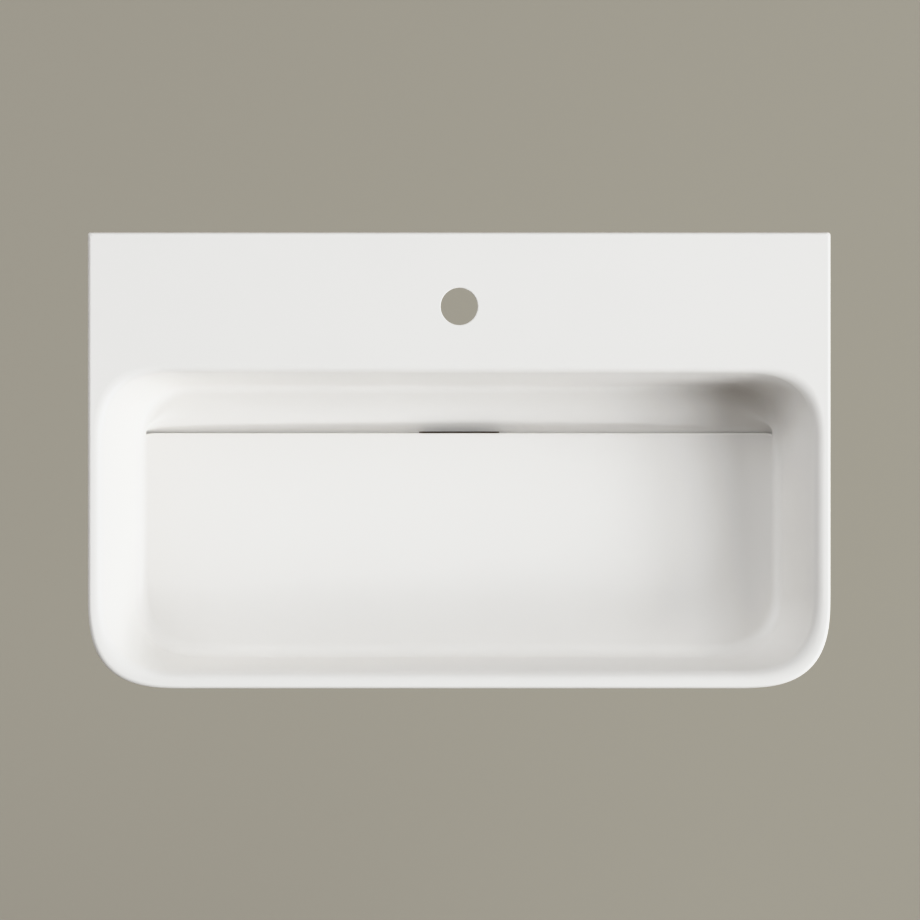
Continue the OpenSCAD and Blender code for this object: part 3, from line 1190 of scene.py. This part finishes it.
    def slot(self) -> Blank:
        """Tool for the slot that runs down from the groove into the sump.

        Returns:
            The tool.
        """
        r = self.slot_height / 2
        half = self.slot_width / 2 - r
        start_reach = self.lip_reach - self.slot_lead
        end_reach = self.outlet_reach - self.groove
        mid = self.trough_depth(0.0) + self.groove_step + self.slot_drop - r
        fall = math.tan(math.radians(self.slot_slope))
        rings = []
        for reach in (start_reach, end_reach):
            z = self.rim_z - mid - fall * (reach - self.lip_reach)
            oval = arc((half, z), r, -90.0, 90.0, 16) + arc((-half, z), r, 90.0, 270.0, 16)
            rings.append([(x, -reach, height) for x, height in oval])
        return Blank().loft(rings)

    def tap_hole(self) -> Blank:
        """Tool for the tap hole, which leaves a small rounding on both edges.

        Returns:
            The tool, on the hole's own axis.
        """
        r, e = self.tap_r, self.tap_round
        low, high = self.rim_z - self.deck, self.rim_z
        profile = [(0.0, low - self.past), (r + e, low - self.past), (r + e, low - 0.01),
                   *arc((r + e, low + e), e, 270.0, 180.0, 8),
                   *arc((r + e, high - e), e, 180.0, 90.0, 8), (r + e, high + 0.01),
                   (r + e, high + self.past), (0.0, high + self.past)]
        return Blank().turn(profile, 160)

    def fixing_hole(self) -> Blank:
        """Tool for one fixing hole, along its own Z from the wall."""
        r, low, high = self.fix_hole_r, -self.past, self.wall + self.past
        return Blank().turn([(0.0, low), (r, low), (r, high), (0.0, high)])

    def make(self) -> bpy.types.Object:
        """Build and carve the body.

        Returns:
            The body.
        """
        body = self.shell().object("basin_ceramic")
        machine(body, self.rear_hollow().object("tool"), Cut.REMOVE)
        machine(body, self.front_hollow().object("tool"), Cut.REMOVE)
        machine(body, self.boss().object("tool", self.at_outlet()), Cut.ADD)
        machine(body, self.trough().object("tool"), Cut.REMOVE)
        for tool in self.sump_tools():
            machine(body, tool.object("tool", self.at_outlet()), Cut.REMOVE)
        machine(body, self.slot().object("tool"), Cut.REMOVE)
        place = Matrix.Translation((0.0, -self.tap_reach, 0.0))
        machine(body, self.tap_hole().object("tool", place), Cut.REMOVE)
        for side in (-0.5, 0.5):
            turned = out_of_wall(side * self.fix_spacing)
            machine(body, self.fixing_hole().object("tool", turned), Cut.REMOVE)
        soften(body)
        return body


# The fittings


def dress(piece: bpy.types.Object, material: bpy.types.Material,
          node: str) -> None:
    """Give a piece its finish and its place on the body.

    Args:
        piece: The piece.
        material: Its material.
        node: Node of the solid model that it stands for.
    """
    piece.data.materials.clear()
    piece.data.materials.append(material)
    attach(piece, BODY)
    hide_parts(node)
    LOG.info("%s: %d faces", piece.name, len(piece.data.polygons))


def join(name: str, parts: Sequence[bpy.types.Object]) -> bpy.types.Object:
    """Merge meshes that are one piece.

    Args:
        name: Name of the piece.
        parts: The meshes.

    Returns:
        The piece.
    """
    work = bmesh.new()
    for part in parts:
        work.from_mesh(part.data)
        mesh = part.data
        bpy.data.objects.remove(part)
        bpy.data.meshes.remove(mesh)
    mesh = bpy.data.meshes.new(name)
    work.to_mesh(mesh)
    work.free()
    return new_object(name, mesh)


@dataclass
class WallBushes:
    """The two collar bushes in the fixing holes."""

    spacing: float = 280.0
    sleeve_r: float = 9.8
    sleeve_length: float = 12.0
    collar_r: float = 17.0
    collar: float = 3.0
    bore_r: float = 5.5
    dish_r: float = 8.5
    dish_width: float = 4.0
    dish: float = 0.5

    def bush(self, name: str, x: float) -> bpy.types.Object:
        """One bush, with its collar in the hollow and its nose at the wall.

        Args:
            name: Name of the mesh.
            x: Place along the wall.

        Returns:
            The bush.
        """
        back = self.sleeve_length
        face = back + self.collar
        inner, outer = self.dish_r, self.dish_r + self.dish_width
        profile = rounded_profile([
            (self.bore_r, 0.0, 0.6), (self.sleeve_r, 0.0, 0.8),
            (self.sleeve_r, back, 0.3), (self.collar_r, back, 0.5),
            (self.collar_r, face, 0.9), (outer, face, 0.3),
            (outer - self.dish, face - self.dish, 0.3), (inner + self.dish, face - self.dish, 0.3),
            (inner, face, 0.3), (self.bore_r, face, 0.6)], 4)
        return Blank().turn(profile, 96).object(name, out_of_wall(x))

    def make(self) -> bpy.types.Object:
        """Build both bushes.

        Returns:
            The bushes, as one piece.
        """
        pair = join("wall_bushes", [self.bush("left", -self.spacing / 2),
                                    self.bush("right", self.spacing / 2)])
        soften(pair)
        return pair


@dataclass
class Thread:
    """A pipe thread on a tube's outer face."""

    crest_r: float
    depth: float
    pitch: float
    low: float
    high: float
    run_out: float = 2.0

    def radius(self, radius: float, height: float, turn: float) -> float:
        """Radius of the threaded face at a place.

        Args:
            radius: Radius of the plain profile.
            height: Height of the point.
            turn: Share of a turn round the axis.

        Returns:
            The radius with the thread cut in.
        """
        if radius < self.crest_r - 0.01 or not self.low <= height <= self.high:
            return radius
        fade = min(1.0, (height - self.low) / self.run_out, (self.high - height) / self.run_out)
        phase = (height / self.pitch - turn) % 1.0
        flank = min(1.0, max(0.0, 2.2 * abs(2.0 * phase - 1.0) - 0.6))
        return radius - self.depth * max(0.0, fade) * flank


@dataclass
class Waste:
    """The waste under the slot: strainer, seals, washer, nut and threaded tail."""

    ceramic: Ceramic
    flange_r: float = 31.0
    flange: float = 3.0
    flange_taper: float = 1.5
    spigot: float = 8.0
    spigot_wall: float = 2.4
    drain_r: float = 3.5
    pitch_r: float = 9.9
    strainer_seal: float = 2.5
    tail_r: float = 20.955
    tail_bore_r: float = 17.5
    tail_length: float = 72.0
    tail_gap: float = 0.6
    groove_gap: float = 2.0
    groove_width: float = 2.5
    groove_r: float = 19.45
    thread_pitch: float = 2.309
    thread_depth: float = 1.35
    seal_r: float = 31.0
    seal: float = 6.0
    seal_cone: float = 4.0
    washer_r: float = 30.0
    washer: float = 1.5
    nut_flats: float = 52.0
    nut: float = 10.0
    nut_flange_r: float = 30.0
    nut_flange: float = 3.0
    ring_clear: float = 0.1

    @property
    def flange_depth(self) -> float:
        """Depth of the underside of the strainer's flange."""
        return self.ceramic.sump_depth - self.strainer_seal

    @property
    def tail_top(self) -> float:
        """Depth of the top of the tail."""
        return self.flange_depth + self.tail_gap

    @property
    def washer_depth(self) -> float:
        """Depth of the underside of the friction washer."""
        return self.ceramic.boss_foot + self.seal + self.washer

    def strainer(self) -> bpy.types.Object:
        """Turn the flange with its spigot, and drill its holes.

        Returns:
            The strainer.
        """
        spigot_r = self.tail_bore_r - self.ring_clear
        profile = rounded_profile([
            (0.0, 0.0, 0.0), (spigot_r - self.spigot_wall, 0.0, 0.8),
            (spigot_r - self.spigot_wall, -self.spigot, 0.5), (spigot_r, -self.spigot, 0.8),
            (spigot_r, 0.0, 0.3), (self.flange_r, 0.0, 0.4),
            (self.flange_r - self.flange_taper, self.flange, 1.2), (0.0, self.flange, 0.0)])
        piece = Blank().turn(profile).object("strainer_flange",
                                             self.ceramic.at_outlet(self.flange_depth))
        r, e, top = self.drain_r, 0.7, self.flange
        drill = [(0.0, -1.0), (r, -1.0), *arc((r + e, top - e), e, 180.0, 90.0, 5),
                 (r + e, top + 1.0), (0.0, top + 1.0)]
        for x, y in [(0.0, 0.0), *six_round(self.pitch_r)]:
            place = self.ceramic.at_outlet(self.flange_depth) @ Matrix.Translation((x, y, 0.0))
            machine(piece, Blank().turn(drill, 48).object("tool", place), Cut.REMOVE)
        soften(piece)
        return piece

    def ring_piece(self, name: str, depth: float,
                   corners: Sequence[tuple[float, float, float]]) -> bpy.types.Object:
        """A plain turned ring.

        Args:
            name: Name of the piece.
            depth: Depth of the profile's zero height.
            corners: Radius, height and rounding of each corner.

        Returns:
            The ring.
        """
        piece = Blank().turn(rounded_profile(corners)).object(name, self.ceramic.at_outlet(depth))
        soften(piece)
        return piece

    def strainer_ring(self) -> bpy.types.Object:
        """Make the seal under the strainer's flange.

        Returns:
            The seal.
        """
        inner, outer, t = self.ceramic.outlet_r + 0.5, self.flange_r - 0.5, self.strainer_seal
        corners = [(inner, 0.0, 0.5), (outer, 0.0, 0.9), (outer, t, 0.9), (inner, t, 0.5)]
        return self.ring_piece("strainer_seal_ring", self.ceramic.sump_depth, corners)

    def tail(self) -> bpy.types.Object:
        """Turn the tail, with the groove between its two threads.

        Returns:
            The tail.
        """
        bottom = -self.tail_length
        groove_top = self.tail_top - self.washer_depth - self.nut - self.groove_gap
        groove_low = groove_top - self.groove_width
        steps = round(self.tail_length / self.thread_pitch * 10)
        outer = []
        for k in range(steps + 1):
            z = blend(bottom + 0.8, -0.8, k / steps)
            if not groove_low - 0.9 < z < groove_top + 0.9:
                outer.append((self.tail_r, z))
        low_part = [p for p in outer if p[1] < groove_low]
        high_part = [p for p in outer if p[1] > groove_top]
        r, g = self.tail_r, self.groove_r
        profile = [
            (self.tail_bore_r, -0.6), (self.tail_bore_r, bottom + 0.6),
            (self.tail_bore_r + 0.6, bottom), (r - 0.8, bottom), *low_part,
            (r - 0.2, groove_low - 0.3), (g, groove_low + 0.4), (g, groove_top - 0.4),
            (r - 0.2, groove_top + 0.3), *high_part, (r - 0.8, 0.0), (self.tail_bore_r + 0.6, 0.0)]
        lower = Thread(r, self.thread_depth, self.thread_pitch, bottom + 0.6, groove_low - 0.6)
        upper = Thread(r, self.thread_depth, self.thread_pitch, groove_top + 0.6, -0.6)

        def threaded(radius: float, height: float, turn: float) -> float:
            """Radius with both threads cut in."""
            return upper.radius(lower.radius(radius, height, turn), height, turn)

        piece = Blank().turn(profile, 96, threaded).object(
            "threaded_tail", self.ceramic.at_outlet(self.tail_top))
        soften(piece, 50.0)
        return piece

    def tail_ring(self) -> bpy.types.Object:
        """Make the coned seal under the boss.

        Returns:
            The seal.
        """
        bore = self.tail_r + self.ring_clear
        t = self.seal
        corners = [(bore, 0.0, 0.5), (self.seal_r - 1.0, 0.0, 0.8), (self.seal_r, 1.6, 0.8),
                   (self.seal_r, t, 0.9), (self.ceramic.outlet_r - 0.3, t, 0.0),
                   (bore + 0.5, t + self.seal_cone, 0.2), (bore, t + self.seal_cone, 0.0)]
        return self.ring_piece("coned_seal_ring", self.ceramic.boss_foot + t, corners)

    def slip_ring(self) -> bpy.types.Object:
        """Make the nylon washer between the seal and the nut.

        Returns:
            The washer.
        """
        bore, r, t = self.tail_r + self.ring_clear, self.washer_r, self.washer
        corners = [(bore, 0.0, 0.25), (r, 0.0, 0.35), (r, t, 0.35), (bore, t, 0.25)]
        return self.ring_piece("slip_washer", self.washer_depth, corners)

    def backnut(self) -> bpy.types.Object:
        """Make the flanged hexagon nut, chamfered at its foot.

        Returns:
            The nut.
        """
        place = self.ceramic.at_outlet(self.washer_depth + self.nut)
        corner = self.nut_flats / 2 / math.cos(math.radians(30))
        piece = Blank().prism(six_round(corner), 0.0, self.nut).object("flanged_backnut", place)
        chamfer = [(0.0, -1.0), (self.nut_flats / 2 - 1.8, -1.0), (corner + 1.0, 2.6),
                   (corner + 1.0, self.nut + 1.0), (0.0, self.nut + 1.0)]
        machine(piece, Blank().turn(chamfer).object("tool", place), Cut.KEEP_COMMON)
        root = self.nut - self.nut_flange
        flange = rounded_profile([
            (0.0, root, 0.0), (self.nut_flange_r, root, 0.9), (self.nut_flange_r, self.nut, 0.5),
            (0.0, self.nut, 0.0)])
        machine(piece, Blank().turn(flange).object("tool", place), Cut.ADD)
        bore = self.tail_r + self.ring_clear
        drill = [(0.0, -1.0), (bore + 1.8, -1.0), (bore, 0.8), (bore, self.nut + 1.0),
                 (0.0, self.nut + 1.0)]
        machine(piece, Blank().turn(drill).object("tool", place), Cut.REMOVE)
        soften(piece)
        return piece


# The studio


@dataclass(frozen=True)
class Softbox:
    """A square area light that points at the basin."""

    name: str
    azimuth: float
    elevation: float
    power: float
    size: float
    distance: float = 15.0
    colour: Colour = (0.934, 0.97, 1.0)

    def hang(self, aim: Vector) -> None:
        """Put the light in the scene.

        Args:
            aim: Point that it faces, in metres.
        """
        light = bpy.data.lights.new(self.name, "AREA")
        light.shape = "SQUARE"
        light.size = self.size
        light.energy = self.power
        light.color = self.colour
        lamp = new_object(self.name, light)
        turn, lift = math.radians(self.azimuth), math.radians(self.elevation)
        way = Vector((math.cos(lift) * math.cos(turn), math.cos(lift) * math.sin(turn), math.sin(lift)))
        lamp.location = aim + way * self.distance
        lamp.rotation_euler = way.to_track_quat("Z", "Y").to_euler()


@dataclass
class Studio:
    """Floor, soft light and the camera straight above the basin."""

    floor_z: float = -1.2
    floor_size: float = 40.0
    camera_height: float = 3.0
    picture_width: float = 867.2
    picture_centre: Flat = (0.8, -214.8)
    aim_height: float = 50.0
    sky: Colour = (1.0, 0.9, 0.8)
    sky_strength: float = 0.14
    lights: tuple[Softbox, ...] = (
        Softbox("key_right", 345.0, 20.0, 1160.0, 4.2),
        Softbox("key_front", 317.0, 27.0, 845.0, 4.2),
        Softbox("high_right", 0.0, 40.0, 560.0, 4.2),
        Softbox("low_right", 0.0, 30.0, 310.0, 4.2),
        Softbox("top_rear", 60.0, 60.0, 185.0, 4.2),
        Softbox("fill_left", 150.0, 40.0, 920.0, 9.0),
        Softbox("fill_rear", 90.0, 40.0, 240.0, 8.0),
    )

    def lay_floor(self) -> None:
        """Lay the seamless floor far below the basin."""
        half = self.floor_size / 2
        mesh = bpy.data.meshes.new("floor")
        corners = [(-half, -half), (half, -half), (half, half), (-half, half)]
        mesh.from_pydata([(x, y, self.floor_z) for x, y in corners], [], [(0, 1, 2, 3)])
        mesh.materials.append(StudioPaper().make())
        floor = new_object("floor", mesh)

    def light(self) -> None:
        """Set the sky and hang the lights."""
        world = bpy.data.worlds.new("soft_sky")
        world.use_nodes = True
        sky = world.node_tree.nodes["Background"]
        sky.inputs["Color"].default_value = (*self.sky, 1.0)
        sky.inputs["Strength"].default_value = self.sky_strength
        bpy.context.scene.world = world
        x, y = self.picture_centre
        aim = Vector((x * MM, y * MM, self.aim_height * MM))
        for box in self.lights:
            box.hang(aim)

    def shoot(self) -> None:
        """Set the camera straight above the middle of the picture."""
        camera = bpy.data.cameras.new("camera")
        camera.type = "ORTHO"
        camera.ortho_scale = self.picture_width * MM
        camera.clip_end = 100.0
        stand = new_object("camera", camera)
        x, y = self.picture_centre
        stand.location = (x * MM, y * MM, self.camera_height)
        bpy.context.scene.camera = stand
        bpy.context.scene.view_settings.view_transform = "Khronos PBR Neutral"

    def make(self) -> None:
        """Set up the whole studio."""
        self.lay_floor()
        self.light()
        self.shoot()


def main() -> None:
    """Build the washbasin piece by piece, then the studio."""
    logging.basicConfig(level=logging.INFO, format="%(message)s")
    ceramic = Ceramic()
    glaze = WhiteGlaze(ceramic).make()
    chrome = BrightChrome().make()
    rubber = SealRubber().make()
    plastic = MouldedPlastic("white_plastic", light=(0.74, 0.74, 0.71), shade=(0.70, 0.70, 0.67),
                             roughness=0.42, flow_mm=14.0).make()
    nylon = MouldedPlastic("natural_nylon", light=(0.72, 0.70, 0.62), shade=(0.66, 0.64, 0.55),
                           roughness=0.36, flow_mm=9.0).make()

    dress(ceramic.make(), glaze, "basin_body")
    dress(WallBushes().make(), plastic, "fixing_bushes")
    waste = Waste(ceramic)
    dress(waste.strainer(), chrome, "waste_strainer")
    dress(waste.strainer_ring(), rubber, "strainer_seal")
    dress(waste.tail(), chrome, "waste_tail")
    dress(waste.tail_ring(), rubber, "tail_seal")
    dress(waste.slip_ring(), nylon, "friction_washer")
    dress(waste.backnut(), chrome, "waste_backnut")

    Studio().make()


if __name__ == "__main__":
    main()
